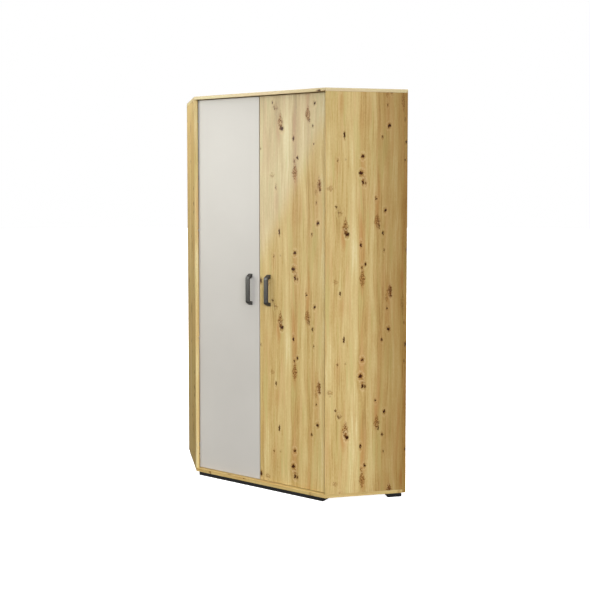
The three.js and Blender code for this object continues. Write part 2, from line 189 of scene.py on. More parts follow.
# Knotty oak decor, in millimetres. It repeats up the boards, and sideways with a step.
TILE_HEIGHT = 961
TILE_WIDTH = 430
COLUMN_STEP = 353

# Tone of the upright bands from dark, 0, to light, 1, at places across the decor
BAND_TONES = (
    (0, 0.50), (14, 0.40), (38, 0.56), (64, 0.42), (104, 0.40), (134, 0.58), (156, 0.76),
    (172, 0.62), (186, 0.44), (196, 0.24), (212, 0.22), (230, 0.46), (254, 0.60), (268, 0.50),
    (279, 0.24), (294, 0.40), (326, 0.42), (350, 0.66), (374, 0.74), (400, 0.60), (430, 0.50),
)

# Knots: place across and up, half width and height, darkness of the core and of the wood around it
KNOTS = (
    (75, 938, 3.5, 4, 0.9, 0.5), (86, 910, 2.2, 8, 0.6, 0.3), (97, 907, 9, 1.8, 0.5, 0.3),
    (314, 922, 6, 6, 1.0, 0.8), (285, 846, 3, 9, 0.7, 0.6), (130, 809, 8.5, 7, 1.0, 1.0),
    (122, 818, 6, 5, 0.6, 1.0), (304, 815, 4, 5, 0.9, 0.5), (196, 761, 4, 9, 1.0, 0.7),
    (310, 732, 3, 4, 0.7, 0.4), (4, 715, 3, 4, 0.5, 0.4), (218, 668, 5, 5, 0.9, 0.7),
    (200, 652, 4, 4, 0.8, 0.6), (95, 531, 3, 9, 0.7, 0.6), (342, 540, 3.5, 13, 0.5, 0.9),
    (345, 518, 4.5, 6, 0.5, 0.9), (325, 458, 3.5, 5, 0.7, 0.5), (333, 358, 7, 6, 0.95, 0.9),
    (300, 306, 4.5, 4, 0.7, 0.5), (115, 312, 3.4, 14, 1.0, 0.6), (204, 214, 7.5, 6, 0.8, 0.9),
    (83, 194, 3, 3.5, 0.6, 0.4), (121, 199, 2, 3, 0.4, 0.2), (196, 136, 9.5, 7.5, 1.0, 1.0),
    (205, 90, 5, 8, 0.95, 0.9), (218, 88, 4, 7, 0.8, 0.7), (6, 70, 6, 11, 0.8, 0.8),
    (269, 16, 4.5, 5, 0.9, 0.5),
)

# Brown mottled patches round old knots: place across and up, half width, half height and strength
PATCHES = (
    (121, 842, 15, 46, 0.95), (276, 872, 15, 36, 1.0), (204, 600, 15, 46, 0.95), (340, 542, 13, 38, 1.0),
    (73, 586, 15, 13, 0.45), (46, 64, 18, 16, 0.50), (207, 108, 12, 22, 0.60), (322, 505, 10, 22, 0.40),
    (92, 915, 16, 26, 0.20), (404, 480, 12, 60, 0.45),
)

# Reddish streaks along the grain: place across and up, half width, half height and strength
STREAKS = (
    (198, 810, 14, 110, 0.75), (203, 700, 12, 130, 0.65), (203, 570, 14, 70, 0.75), (276, 935, 12, 90, 0.85),
    (112, 792, 14, 60, 0.85), (104, 470, 18, 70, 0.60), (196, 330, 12, 160, 0.45), (201, 170, 15, 60, 0.70),
    (336, 520, 16, 90, 0.55), (323, 410, 14, 90, 0.45), (284, 70, 10, 120, 0.60), (290, 250, 10, 120, 0.35),
    (40, 720, 18, 90, 0.30), (25, 300, 14, 120, 0.30), (404, 590, 9, 60, 0.80), (416, 780, 10, 110, 0.60),
    (80, 170, 14, 60, 0.40), (230, 430, 18, 90, 0.35),
)

# Fine noise: width and run in millimetres, depth and detail, and for some a smooth step's ends and results
LAYERS = {
    "growth": (30, 260, 9.0, 2.0, 0.42, 0.66),
    "soft": (15, 330, 1.0, 2.0),
    "lines": (6.0, 210, 2.0, 2.0),
    "fibres": (1.1, 60, 3.0, 2.0),
    "flecks": (16, 2.2, 4.0, 2.0, 0.63, 0.76),
    "pores": (0.5, 8, 5.0, 1.0, 0.60, 0.72),
    "lined": (40, 170, 12.0, 2.0, 0.38, 0.62, 0.30, 1.30),
    "mottle": (5, 14, 10.0, 3.0),
    "warm": (22, 380, 6.0, 2.0, 0.50, 0.72, 0.0, 0.40),
    "cool": (26, 340, 7.0, 2.0, 0.50, 0.70, 0.0, 0.50),
    "specks": (4.6, 7.0, 8.0, 2.0),
    "dots": (2.8, 3.6, 13.0, 1.0, 0.64, 0.74),
}

# Broad noise that meets where the tile repeats: width in millimetres, waves up the tile, offset and detail
BROAD_LAYERS = {
    "wander": (150, 2.0, 3.1, 1.0),
    "drift": (34, 5, 17.0, 3.0),
    "broad": (48, 4, 11.0, 2.0),
}

# How much each part counts in the tone of the grain
TONE_SHARES = {
    "broad": 0.55, "soft": 0.95, "lines": 0.90, "fibres": 0.35,
    "mottle": 0.45, "growth": -0.34, "flecks": 0.14,
}

# Colours of the grain by tone, from dark to light
GRAIN_COLOURS = (
    (0.00, tint(166, 133, 76)), (0.25, tint(185, 155, 94)), (0.50, tint(197, 170, 111)),
    (0.75, tint(206, 184, 126)), (1.00, tint(216, 199, 148)),
)
WARM_WOOD = tint(199, 159, 107)
COOL_WOOD = tint(188, 174, 109)
RED_WOOD = tint(178, 116, 60)
PORE_BROWN = tint(112, 78, 36)
PATCH_BROWN = tint(172, 120, 58)
PATCH_SPECK = tint(96, 54, 6)
RIM_WOOD = tint(219, 196, 144)
KNOT_BROWN = tint(124, 70, 0)
KNOT_DOT = tint(120, 82, 34)
KNOT_CORE = tint(58, 24, 0)
PAINTED_SHEEN = (0.048, 0.085, 0.105, 1.0)  # painted sheen: what the palest places add to the colour
PAINTED_SHADE = (0.54, 0.43, 0.28, 1.0)  # painted shade: the share of the colour left where it is darkest
PAINTED_SHADE_STEP = (-0.06, 1.06)  # a little wider than the painted shade's 0 to 1

# Where marks fade out and are whole, in their half sizes
STREAK_FADE = (1.5, 0.0)
PATCH_FADE = (1.35, 0.65)
CORE_FADE = (1.25, 0.85)

# Brown wood around a knot: slope and start of its half sizes, in millimetres, against the knot's
AROUND_WIDTH = (1.5, 3.0)
AROUND_HEIGHT = (1.7, 10.0)
RIM_PLACE = 1.05  # middle of the pale rim, in half sizes of the brown wood
RIM_WIDTH = 0.4
PUSH_FADE = 0.42  # the push on the grain ends where this, times the half sizes of the brown wood, is 1
PUSH_SHARE = 0.9  # of a knot's half width

# Ragged grid that the marks stand on: waves to a millimetre, and how far it moves them, in millimetres
RAGGED_SCALE = (0.16, 0.11)
RAGGED_DETAIL = 4.0
RAGGED_ACROSS = 22.0
RAGGED_KNOT_UP = 26.0
RAGGED_PATCH_UP = 40.0
WANDER_REACH = 24.0  # how far the grain wanders sideways, in millimetres
DRIFT_REACH = 22.0  # the same for the growth lines

GROWTH_SPACING = 9.0  # millimetres between growth lines
GROWTH_SHARPNESS = 3.0  # how steeply they darken to their sharp side
PORES_BY_GROWTH = (0.7, 0.3)  # slope and start of the pores' share against the place in a growth ring
PORE_SHARE = 0.25

# How specks, and the lines in a streak, break up a colour's share: slope and start against their noise
STREAK_BY_LINES = (1.6, -0.25)
PATCH_BY_SPECKS = (8.0, 0.50)  # here and in the next line the noise lies round zero
RIM_BY_SPECKS = (-3.0, 0.45)
BROWN_BY_SPECKS = (2.2, -0.10)
CORE_BY_SPECKS = (0.8, 0.72)

# Greatest shares of the marks' colours
PATCH_SHARE = 0.50
RIM_SHARE = 0.6
MOST_BROWN = 0.92
DOTS_SHARE = 0.75
DOTS_EVERYWHERE = 0.10  # what is left of the dots away from knots and patches

# Relief and roughness of the decor
FIBRES_RELIEF = 0.6
PORES_RELIEF = -0.9
ROUGHNESS_BY_LINES = (0.10, 0.40)
PORES_ROUGHNESS = 0.14
EDGE_GLOSS = 0.15  # how much smoother an edge band is than a face

# Values of the marks' rows, results of the knots, and the values that a board's corners carry
MARK_NAMES = ("Place across", "Place up", "Half width", "Half height", "Strength")
KNOT_NAMES = ("Place across", "Place up", "Half width", "Half height", "Dark", "Around")
KNOT_RESULTS = ("Cores", "Surrounds", "Rims", "Push")
BOARD_VALUES = ("painted_shade", "pale", "edge")


def mark_group(name, given_names, carried_names):
    """An empty group for one mark, and how far a point is from its middle, the short way up the tile."""
    inputs = [(item, "Float") for item in ("Across", "Up", *given_names, *carried_names)]
    tree, given, result = group(name, inputs, [(item, "Float") for item in carried_names])
    across = calc(tree, "SUBTRACT", given["Across"], given["Place across"])
    up = calc(tree, "SUBTRACT", given["Up"], given["Place up"])
    up = calc(tree, "WRAP", up, TILE_HEIGHT / 2, -TILE_HEIGHT / 2)
    return tree, given, result, across, up


def oval_group(name, fade, pointed):
    """An oval mark; a pointed one has straight sides."""
    tree, given, result, across, up = mark_group(name, MARK_NAMES, ["Mark"])
    across = calc(tree, "ABSOLUTE", calc(tree, "DIVIDE", across, given["Half width"]))
    up = calc(tree, "ABSOLUTE", calc(tree, "DIVIDE", up, given["Half height"]))
    far = calc(tree, "ADD", across, up) if pointed else length(tree, across, up)
    mark = times(tree, remap(tree, far, *fade), given["Strength"])
    feed(tree, result["Mark"], calc(tree, "MAXIMUM", mark, given["Mark"]))
    return tree


def knot_group():
    """A knot: its core, the brown wood around it, its pale rim and how far it pushes the grain aside."""
    tree, given, result, across, up = mark_group("knot", KNOT_NAMES, KNOT_RESULTS)
    sideways = calc(tree, "DIVIDE", across, given["Half width"])
    upright = calc(tree, "DIVIDE", up, given["Half height"])
    core = times(tree, remap(tree, length(tree, sideways, upright), *CORE_FADE), given["Dark"])
    wide = line(tree, given["Half width"], *AROUND_WIDTH)
    high = line(tree, given["Half height"], *AROUND_HEIGHT)
    around = length(tree, calc(tree, "DIVIDE", across, wide), calc(tree, "DIVIDE", up, high))
    surround = times(tree, remap(tree, around, 1.0, 0.0), given["Around"])
    from_rim = calc(tree, "ABSOLUTE", calc(tree, "SUBTRACT", around, RIM_PLACE))
    rim = times(tree, remap(tree, from_rim, RIM_WIDTH, 0.0), given["Around"])
    fade = remap(tree, times(tree, around, PUSH_FADE), 1.0, 0.0)
    push = times(tree, times(tree, within(tree, sideways, -1.0), fade), given["Half width"])
    for name, value in zip(KNOT_RESULTS, (core, surround, rim)):
        feed(tree, result[name], calc(tree, "MAXIMUM", value, given[name]))
    feed(tree, result["Push"], calc(tree, "ADD", push, given["Push"]))
    return tree


def chain(tree, kind, names, rows, carried_names, across, up):
    """A node for each row, which adds its mark to those that the one before it carries."""
    carried = dict.fromkeys(carried_names, 0.0)
    for row in rows:
        values = {"Across": across, "Up": up, **dict(zip(names, row)), **carried}
        results = add(tree, "ShaderNodeGroup", values, node_tree=kind).outputs
        carried = {name: results[name] for name in carried_names}
    return carried


def layer(tree, name, across, up):
    """One of the fine noises."""
    width, run, depth, detail, *step = LAYERS[name]
    spot = join(tree, calc(tree, "DIVIDE", across, width), calc(tree, "DIVIDE", up, run), depth)
    value = noise(tree, spot, detail=detail)
    return remap(tree, value, *step) if step else value


def broad_layer(tree, name, across, circle):
    """One of the broad noises."""
    width, waves, offset, detail = BROAD_LAYERS[name]
    sideways = line(tree, across, 1 / width, offset)
    ring = [times(tree, part, waves / (2 * math.pi)) for part in circle]
    return noise(tree, join(tree, sideways, *ring), detail=detail)


def tile_place(tree, place):
    """A point's place across and up the tile in millimetres, and on a circle as long as the tile is high,
    so that the broad noise meets where the tile repeats."""
    wide, high = (calc(tree, "DIVIDE", part, MM) for part in split(tree, place)[:2])
    column = calc(tree, "FLOOR", calc(tree, "DIVIDE", wide, TILE_WIDTH))
    across = calc(tree, "SUBTRACT", wide, times(tree, column, TILE_WIDTH))
    up = calc(tree, "ADD", high, times(tree, column, COLUMN_STEP))
    turn = times(tree, up, 2 * math.pi / TILE_HEIGHT)
    return across, up, (calc(tree, "COSINE", turn), calc(tree, "SINE", turn))


def lay_marks(tree, across, up, circle):
    """Knots, streaks and patches, and the place across as the grain has it, bent round the knots."""
    ragged_place = join(tree, *(times(tree, part, scale) for part, scale in zip((across, up), RAGGED_SCALE)))
    jitter = split(tree, noise(tree, ragged_place, detail=RAGGED_DETAIL, result="Color"))
    ragged_across = calc(tree, "ADD", across, centred(tree, jitter[0], RAGGED_ACROSS))
    knot_up = calc(tree, "ADD", up, centred(tree, jitter[1], RAGGED_KNOT_UP))
    patch_up = calc(tree, "ADD", up, centred(tree, jitter[1], RAGGED_PATCH_UP))
    knots = chain(tree, knot_group(), KNOT_NAMES, KNOTS, KNOT_RESULTS, ragged_across, knot_up)
    wander = centred(tree, broad_layer(tree, "wander", across, circle), WANDER_REACH)
    bent = total(tree, across, wander, times(tree, knots["Push"], -PUSH_SHARE))
    streak = oval_group("streak", STREAK_FADE, pointed=False)
    streaks = chain(tree, streak, MARK_NAMES, STREAKS, ["Mark"], bent, up)["Mark"]
    patch = oval_group("patch", PATCH_FADE, pointed=True)
    patches = chain(tree, patch, MARK_NAMES, PATCHES, ["Mark"], ragged_across, patch_up)["Mark"]
    return knots, streaks, patches, bent


def lay_grain(tree, across, up, circle, bent):
    """Tone of the grain, its lines, its fibres and its pores."""
    band_stops = [(spot / TILE_WIDTH, grey(tone)) for spot, tone in BAND_TONES]
    bands = ramp(tree, calc(tree, "DIVIDE", bent, TILE_WIDTH), band_stops)
    drift = centred(tree, broad_layer(tree, "drift", across, circle), DRIFT_REACH)
    phase = calc(tree, "FRACT", calc(tree, "DIVIDE", calc(tree, "ADD", bent, drift), GROWTH_SPACING))
    growth = times(tree, calc(tree, "POWER", phase, GROWTH_SHARPNESS), layer(tree, "growth", bent, up))
    lines, fibres = layer(tree, "lines", bent, up), layer(tree, "fibres", bent, up)
    pores = times(tree, layer(tree, "pores", bent, up), line(tree, phase, *PORES_BY_GROWTH))

    def share(name, value):
        return centred(tree, value, TONE_SHARES[name])

    fine = total(tree, share("lines", lines), share("fibres", fibres))
    tone = total(
        tree, bands,
        share("broad", broad_layer(tree, "broad", across, circle)),
        share("soft", layer(tree, "soft", bent, up)),
        times(tree, layer(tree, "lined", bent, up), fine),
        share("mottle", layer(tree, "mottle", across, up)),
        times(tree, growth, TONE_SHARES["growth"]),
        times(tree, layer(tree, "flecks", across, up), TONE_SHARES["flecks"]),
    )
    return tone, lines, fibres, pores


def colour_grain(tree, up, bent, tone, lines, pores, streaks):
    """The grain's colour by its tone, warmer and cooler in places, with reddish streaks and brown pores."""
    colour = ramp(tree, tone, GRAIN_COLOURS)
    colour = mix(tree, layer(tree, "warm", bent, up), colour, WARM_WOOD)
    colour = mix(tree, layer(tree, "cool", bent, up), colour, COOL_WOOD)
    red_share = times(tree, streaks, within(tree, line(tree, lines, *STREAK_BY_LINES)))
    colour = mix(tree, red_share, colour, RED_WOOD)
    return mix(tree, times(tree, pores, PORE_SHARE), colour, PORE_BROWN)


def colour_marks(tree, across, up, colour, knots, patches):
    """Patches are brown with dark specks; a knot has brown wood, a pale rim and dots around a dark core."""
    specks = layer(tree, "specks", across, up)
    about_zero = calc(tree, "SUBTRACT", specks, 0.5)
    stipple = within(tree, line(tree, about_zero, *PATCH_BY_SPECKS))
    colour = mix(tree, times(tree, patches, PATCH_SHARE), colour, PATCH_BROWN)
    colour = mix(tree, times(tree, patches, stipple), colour, PATCH_SPECK)
    rim = times(tree, knots["Rims"], within(tree, line(tree, about_zero, *RIM_BY_SPECKS)))
    colour = mix(tree, times(tree, rim, RIM_SHARE), colour, RIM_WOOD)
    brown = times(tree, knots["Surrounds"], line(tree, specks, *BROWN_BY_SPECKS))
    colour = mix(tree, within(tree, brown, high=MOST_BROWN), colour, KNOT_BROWN)
    near = within(tree, total(tree, knots["Rims"], knots["Surrounds"], patches, DOTS_EVERYWHERE))
    dots = times(tree, near, layer(tree, "dots", across, up))
    colour = mix(tree, times(tree, dots, DOTS_SHARE), colour, KNOT_DOT)
    core = times(tree, knots["Cores"], line(tree, specks, *CORE_BY_SPECKS))
    return mix(tree, within(tree, core), colour, KNOT_CORE)


def oak_group():
    """Colour, height and roughness of the decor, by its place in metres, its painted shade and its painted
    sheen.
    """
    inputs = [("Place", "Vector"), ("Painted shade", "Float"), ("Painted sheen", "Float")]
    outputs = [("Colour", "Color"), ("Height", "Float"), ("Roughness", "Float")]
    tree, given, result = group("knotty_oak", inputs, outputs)
    across, up, circle = tile_place(tree, given["Place"])
    knots, streaks, patches, bent = lay_marks(tree, across, up, circle)
    tone, lines, fibres, pores = lay_grain(tree, across, up, circle, bent)
    colour = colour_grain(tree, up, bent, tone, lines, pores, streaks)
    # Painted sheen: the colour lightens where a board carries it
    colour = mix(tree, remap(tree, given["Painted sheen"], 0.0, 1.0), colour, PAINTED_SHEEN, "ADD")
    colour = colour_marks(tree, across, up, colour, knots, patches)
    # Painted shade: the colour darkens where a board carries it
    shaded_colour = mix(tree, 1.0, colour, PAINTED_SHADE, "MULTIPLY")
    feed(tree, result["Colour"], mix(tree, remap(tree, given["Painted shade"], *PAINTED_SHADE_STEP), colour, shaded_colour))
    height = total(tree, lines, times(tree, fibres, FIBRES_RELIEF), times(tree, pores, PORES_RELIEF))
    feed(tree, result["Height"], height)
    roughness = calc(tree, "ADD", line(tree, lines, *ROUGHNESS_BY_LINES), times(tree, pores, PORES_ROUGHNESS))
    feed(tree, result["Roughness"], roughness)
    return tree


def make_oak():
    """Knotty oak decor laminate: embossed grain, matte pores and smoother edge bands."""
    made, tree, shader = material("oak_decor", Specular_IOR_Level=0.18)
    place = add(tree, "ShaderNodeUVMap", uv_map="decor").outputs["UV"]
    # A board's painted shade and painted sheen, and whether a corner lies on an edge band
    painted_shade, sheen_zone, edge = (
        add(tree, "ShaderNodeAttribute", attribute_name=name).outputs["Fac"] for name in BOARD_VALUES
    )
    inputs = {"Place": place, "Painted shade": painted_shade, "Painted sheen": sheen_zone}
    decor = add(tree, "ShaderNodeGroup", inputs, node_tree=oak_group()).outputs
    feed(tree, shader.inputs["Base Color"], decor["Colour"])
    feed(tree, shader.inputs["Roughness"], line(tree, edge, -EDGE_GLOSS, decor["Roughness"]))
    bump(tree, shader, decor["Height"], distance=0.25 * MM, strength=0.4)
    return made


def own_noise(tree, waves, detail):
    """Noise on the piece's own coordinates, with about so many waves in a metre."""
    place = add(tree, "ShaderNodeTexCoord").outputs["Object"]
    place = add(tree, "ShaderNodeVectorMath", {0: place, "Scale": waves}, operation="SCALE").outputs["Vector"]
    return noise(tree, place, detail=detail)


def vary(tree, shader, tone, stops, rough, low, rise):
    """Colours a shader by a tone, and gives it a roughness from low to low + rise."""
    feed(tree, shader.inputs["Base Color"], ramp(tree, tone, stops))
    feed(tree, shader.inputs["Roughness"], line(tree, rough, rise, low))


def make_pale():
    """Matte pale grey laminate with a faint cloudy tone and a fine embossed grain."""
    made, tree, shader = material("pale_laminate", Specular_IOR_Level=0.33)
    cloud = own_noise(tree, waves=2.2, detail=3.0)
    grain = own_noise(tree, waves=900.0, detail=2.0)
    grain_share = 0.25
    tone = line(tree, calc(tree, "SUBTRACT", grain, 0.5), grain_share, cloud)
    stops = ((0.25, tint(186, 182, 174)), (0.75, tint(194, 190, 182)))
    vary(tree, shader, tone, stops, grain, low=0.36, rise=0.14)
    bump(tree, shader, grain, distance=0.08 * MM, strength=0.4)
    return made


def make_graphite():
    """Powder-coated cast handle: a fine orange-peel surface, slightly rubbed in places."""
    made, tree, shader = material("graphite_coat")
    peel = own_noise(tree, waves=1500.0, detail=2.0)
    worn = own_noise(tree, waves=60.0, detail=3.0)
    stops = ((0.30, tint(42, 40, 37)), (0.75, tint(51, 49, 45)))
    vary(tree, shader, worn, stops, worn, low=0.34, rise=0.16)
    bump(tree, shader, peel, distance=0.05 * MM, strength=0.5)
    return made


def make_black():
    """Matte black moulded plastic of the plinth and feet, with a little dust."""
    made, tree, shader = material("black_plinth", Specular_IOR_Level=0.25)
    grain = own_noise(tree, waves=700.0, detail=2.0)
    dust = own_noise(tree, waves=14.0, detail=4.0)
    stops = ((0.30, tint(25, 25, 26)), (0.80, tint(38, 37, 36)))
    vary(tree, shader, dust, stops, grain, low=0.62, rise=0.2)
    bump(tree, shader, grain, distance=0.12 * MM, strength=0.5)
    return made


EVEN = (90.0, 90.0, 90.0)  # clouds to a metre, along x, y and z
DRAWN = (6.0, 90.0, 90.0)
MARKS_TO_A_CLOUD = 8.0


def make_steel(name, dark, light, low, rise, clouds=EVEN):
    """Plated steel with faint clouds in its plating and fine drawing marks."""
    made, tree, shader = material(name, metallic=0.6)
    place = add(tree, "ShaderNodeTexCoord").outputs["Object"]
    place = add(tree, "ShaderNodeVectorMath", {0: place, 1: clouds}, operation="MULTIPLY").outputs["Vector"]
    marks = noise(tree, place, scale=MARKS_TO_A_CLOUD, detail=3.0)
    cloud = noise(tree, place, detail=3.0)
    vary(tree, shader, cloud, ((0.25, dark), (0.75, light)), marks, low, rise)
    bump(tree, shader, marks, distance=0.02 * MM, strength=0.3)
    return made


oak = make_oak()
pale_grey = make_pale()
graphite = make_graphite()
black = make_black()
nickel = make_steel("nickel_plate", tint(158, 157, 153), tint(186, 184, 179), low=0.22, rise=0.16)
chrome = make_steel("rail_plate", tint(176, 177, 180), tint(198, 199, 202), low=0.12, rise=0.12, clouds=DRAWN)
zinc = make_steel("zinc_plate", tint(150, 152, 154), tint(178, 179, 178), low=0.30, rise=0.20)


# Shape helpers
MERGE_DISTANCE = 0.01 * MM
FLAT_BELOW = 1  # degrees between faces that are merged
SHARP_ABOVE = 40  # degrees between faces whose edge is rounded
ROUND = 0.5  # a bevel's profile


def mesh_from(work, name, smooth_below=None):
    """The finished mesh; where an angle in degrees is given, it is smooth but for sharper edges."""
    mesh = bpy.data.meshes.new(name)
    work.to_mesh(mesh)
    work.free()
    if smooth_below is not None:
        mesh.shade_smooth()
        mesh.set_sharp_from_angle(angle=math.radians(smooth_below))
    return mesh


def add_piece(name, mesh, surface, body, slot, *nodes):
    """A new piece that rides on a body and stands for CAD nodes."""
    mesh.materials.clear()
    mesh.materials.append(surface)
    made = bpy.data.objects.new(name, mesh)
    scene.collection.objects.link(made)
    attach(made, body)
    if nodes:
        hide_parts(*nodes)
    return made


def body_of(node):
    return next(name for name, members in frame["record"]["behaviour"]["bodies"].items() if node in members)


def points_of(node):
    return [vertex.co for vertex in frame["nodes"][node].data.vertices]


def softened(node, rounding, segments=2, least_length=0.0, smooth_below=None):
    """A copy of a node's mesh with its flat faces merged and its sharp edges rounded."""
    work = bmesh.new()
    work.from_mesh(frame["nodes"][node].data)
    bmesh.ops.remove_doubles(work, verts=work.verts, dist=MERGE_DISTANCE)
    bmesh.ops.dissolve_limit(work, angle_limit=math.radians(FLAT_BELOW), verts=work.verts, edges=work.edges)
    sharp = math.radians(SHARP_ABOVE)
    rims = [
        edge for edge in work.edges
        if len(edge.link_faces) == 2 and edge.calc_face_angle() > sharp and edge.calc_length() > least_length
    ]
    if rounding:
        bmesh.ops.bevel(work, geom=rims, offset=rounding, segments=segments, profile=ROUND, affect="EDGES")
    return mesh_from(work, node, smooth_below)


# Boards
EDGE_ROUNDING = 0.4 * MM
LEAST_EDGE = 15 * MM  # only longer edges of a board are rounded
FACING = 0.7  # how far a normal has to go along a way to face it
REAR_SHADE_REACH = (0.15, 0.40)  # where the painted shade on the right side panel, which darkens it towards the rear, begins and is whole, from its front edge

# Edge band: the way it faces, the decor's place across and along it, painted shade (painted sheen below 0)
# and slant
Band = namedtuple("Band", "way across along shade slant", defaults=(0.0, 0.0))
OTHER_BAND = Band(None, 0.085, 0.4)

# Painted sheen on a face: it begins and is whole at these heights, which rise by so much for each metre
# across
PaintedSheen = namedtuple("PaintedSheen", "low high lean")


def progress(value, low, high):
    """0 at low and 1 at high."""
    return (value - low) / (high - low)


def lay_decor(mesh, face_way, across, grain, start, bands, painted_shade, sheen_zone):
    """Writes the decor's place on a board, in metres: across and up the grain on its faces, along its bands.
    The painted shade rises between two places across the face, and the painted sheen between two heights up
    it."""
    mesh.uv_layers.new(name="decor")
    for name in BOARD_VALUES:
        mesh.attributes.new(name, "FLOAT", "CORNER")
    spots = mesh.uv_layers["decor"].data
    painted_shades, sheen_values, edges = (mesh.attributes[name].data for name in BOARD_VALUES)
    depths = [vertex.co.dot(face_way) for vertex in mesh.vertices]
    centre = (min(depths) + max(depths)) / 2
    for polygon in mesh.polygons:
        normal = polygon.normal
        on_face = abs(normal.dot(face_way)) > FACING
        if on_face:
            ways, shift, slant = (across, grain), start, 0.0
        else:
            along = normal.cross(face_way)
            if along.dot(grain + across / 2) < 0:
                along = -along
            band = next((band for band in bands if normal.dot(band.way) > FACING), OTHER_BAND)
            ways, shift, slant = (face_way, along), (band.across - centre, band.along), band.slant
        for loop in polygon.loop_indices:
            place = mesh.vertices[mesh.loops[loop].vertex_index].co
            up = place.dot(ways[1])
            spots[loop].uv = (place.dot(ways[0]) + shift[0] + slant * up, up + shift[1])
            edges[loop].value = 0.0 if on_face else 1.0
            # An edge band carries its painted shade, or below 0 its painted sheen, all over; a face carries
            # painted shade across it and painted sheen up it
            if not on_face:
                painted_shades[loop].value = max(0.0, band.shade)
                sheen_values[loop].value = max(0.0, -band.shade)
            elif painted_shade:
                painted_shades[loop].value = progress(place.dot(across), *painted_shade)
            elif sheen_zone:
                lean = sheen_zone.lean * (place.dot(across) + start[0])
                sheen_values[loop].value = progress(place.dot(grain) - lean, sheen_zone.low, sheen_zone.high)


def oak_board(node, face_way, across, grain, start, bands=(), painted_shade=None, sheen_zone=None):
    """A board in oak decor, which has the place named start, across and up in metres, at the model's zero."""
    mesh = softened(node, EDGE_ROUNDING, least_length=LEAST_EDGE)
    lay_decor(mesh, face_way, across, grain, start, bands, painted_shade, sheen_zone)
    return add_piece(f"{node}_board", mesh, oak, body_of(node), "oak_board", node)


def make_boards():
    """All the boards. Where the photograph shows one, the decor's place is fitted to it."""
    door_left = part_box("right_door")[0].x
    side_front = front_corner().dot(-LEFT_WAY)
    # The right door is paler towards its top, reaching lower on its left: painted sheen
    oak_board(
        "right_door", Y, X, Z, (-door_left, 0.0), [Band(-X, 0.0, 0.0), Band(X, 0.36, 0.0)],
        sheen_zone=PaintedSheen(low=1.04, high=1.24, lean=1.8),
    )
    # The right side panel darkens towards the rear: painted shade
    oak_board(
        "right_side_panel", RIGHT_WAY, -LEFT_WAY, Z, (0.024 - side_front, -0.459),
        [Band(LEFT_WAY, 0.02, -0.459)], painted_shade=[side_front + behind for behind in REAR_SHADE_REACH],
    )
    oak_board("left_side_panel", LEFT_WAY, -RIGHT_WAY, Z, (0.62, 0.30), [Band(RIGHT_WAY, 0.15, 0.62)])
    # The right back panel's end band is darker: a darker edge band, with painted shade of its seam with the
    # side panel
    end_band = Band(RIGHT_WAY, 0.305, 0.074, shade=0.95)
    oak_board("right_back_panel", LEFT_WAY, RIGHT_WAY, Z, (0.10, 0.25), [end_band])
    oak_board("left_back_panel", RIGHT_WAY, LEFT_WAY, Z, (0.35, 0.70), [Band(LEFT_WAY, 0.10, 0.50)])
    # The top panel's front band is paler, painted sheen; its side band is darker, painted shade
    front_band = Band(-Y, 0.147, 0.458, shade=-0.9, slant=-0.026)
    side_band = Band(RIGHT_WAY, 0.137, 0.423 - side_front, shade=0.3)
    oak_board("top_panel", Z, Y, X, (0.31, 0.12), [front_band, side_band])
    oak_board("bottom_panel", Z, Y, X, (0.05, 0.60), [Band(-Y, 0.076, 1.238)])
    oak_board("upper_shelf", Z, Y, X, (0.55, 0.33))
    pale_door = softened("left_door", EDGE_ROUNDING, least_length=LEAST_EDGE)
    add_piece("left_door_board", pale_door, pale_grey, "left_leaf", "pale_board", "left_door")


def front_corner():
    """The right end of the diagonal front, at the top panel."""
    spots = points_of("top_panel")
    front = min(spot.y for spot in spots)
    return max((spot for spot in spots if spot.y < front + MM), key=lambda spot: spot.x).copy()


# Handles: a bow with smooth bends and softly rounded rims
HANDLE_LENGTH = 156 * MM
HANDLE_GRIP = 127 * MM
HANDLE_FOOT = 19 * MM
HANDLE_STANDOFF = 28 * MM
HANDLE_THICKNESS = 7 * MM
HANDLE_BEND = 9 * MM
HANDLE_ROUNDING = 2 * MM
BEND_STEPS = 10
ROUNDING_STEPS = 6


def bend(before, corner, after):
    """Points of a smooth bend that leaves one leg and joins the next."""
    start = corner + (before - corner).normalized() * HANDLE_BEND
    end = corner + (after - corner).normalized() * HANDLE_BEND
    shares = [step / BEND_STEPS for step in range(BEND_STEPS + 1)]
    return [start * (1 - t) ** 2 + corner * 2 * t * (1 - t) + end * t ** 2 for t in shares]


def handle_outline():
    """The bow's side view: out from the door, and up."""
    end, grip = HANDLE_LENGTH / 2, HANDLE_GRIP / 2
    inner_foot, inner_out = end - HANDLE_FOOT, HANDLE_STANDOFF - HANDLE_THICKNESS
    inner_grip = grip - HANDLE_THICKNESS
    top, bottom = Vector((0, end)), Vector((0, -end))
    outer = [Vector((HANDLE_STANDOFF, grip)), Vector((HANDLE_STANDOFF, -grip))]
    inner = [Vector((inner_out, -inner_grip)), Vector((inner_out, inner_grip))]
    low, high = Vector((0, -inner_foot)), Vector((0, inner_foot))
    return [
        top, *bend(top, outer[0], outer[1]), *bend(outer[0], outer[1], bottom), bottom,
        low, *bend(low, inner[0], inner[1]), *bend(inner[0], inner[1], high), high,
    ]


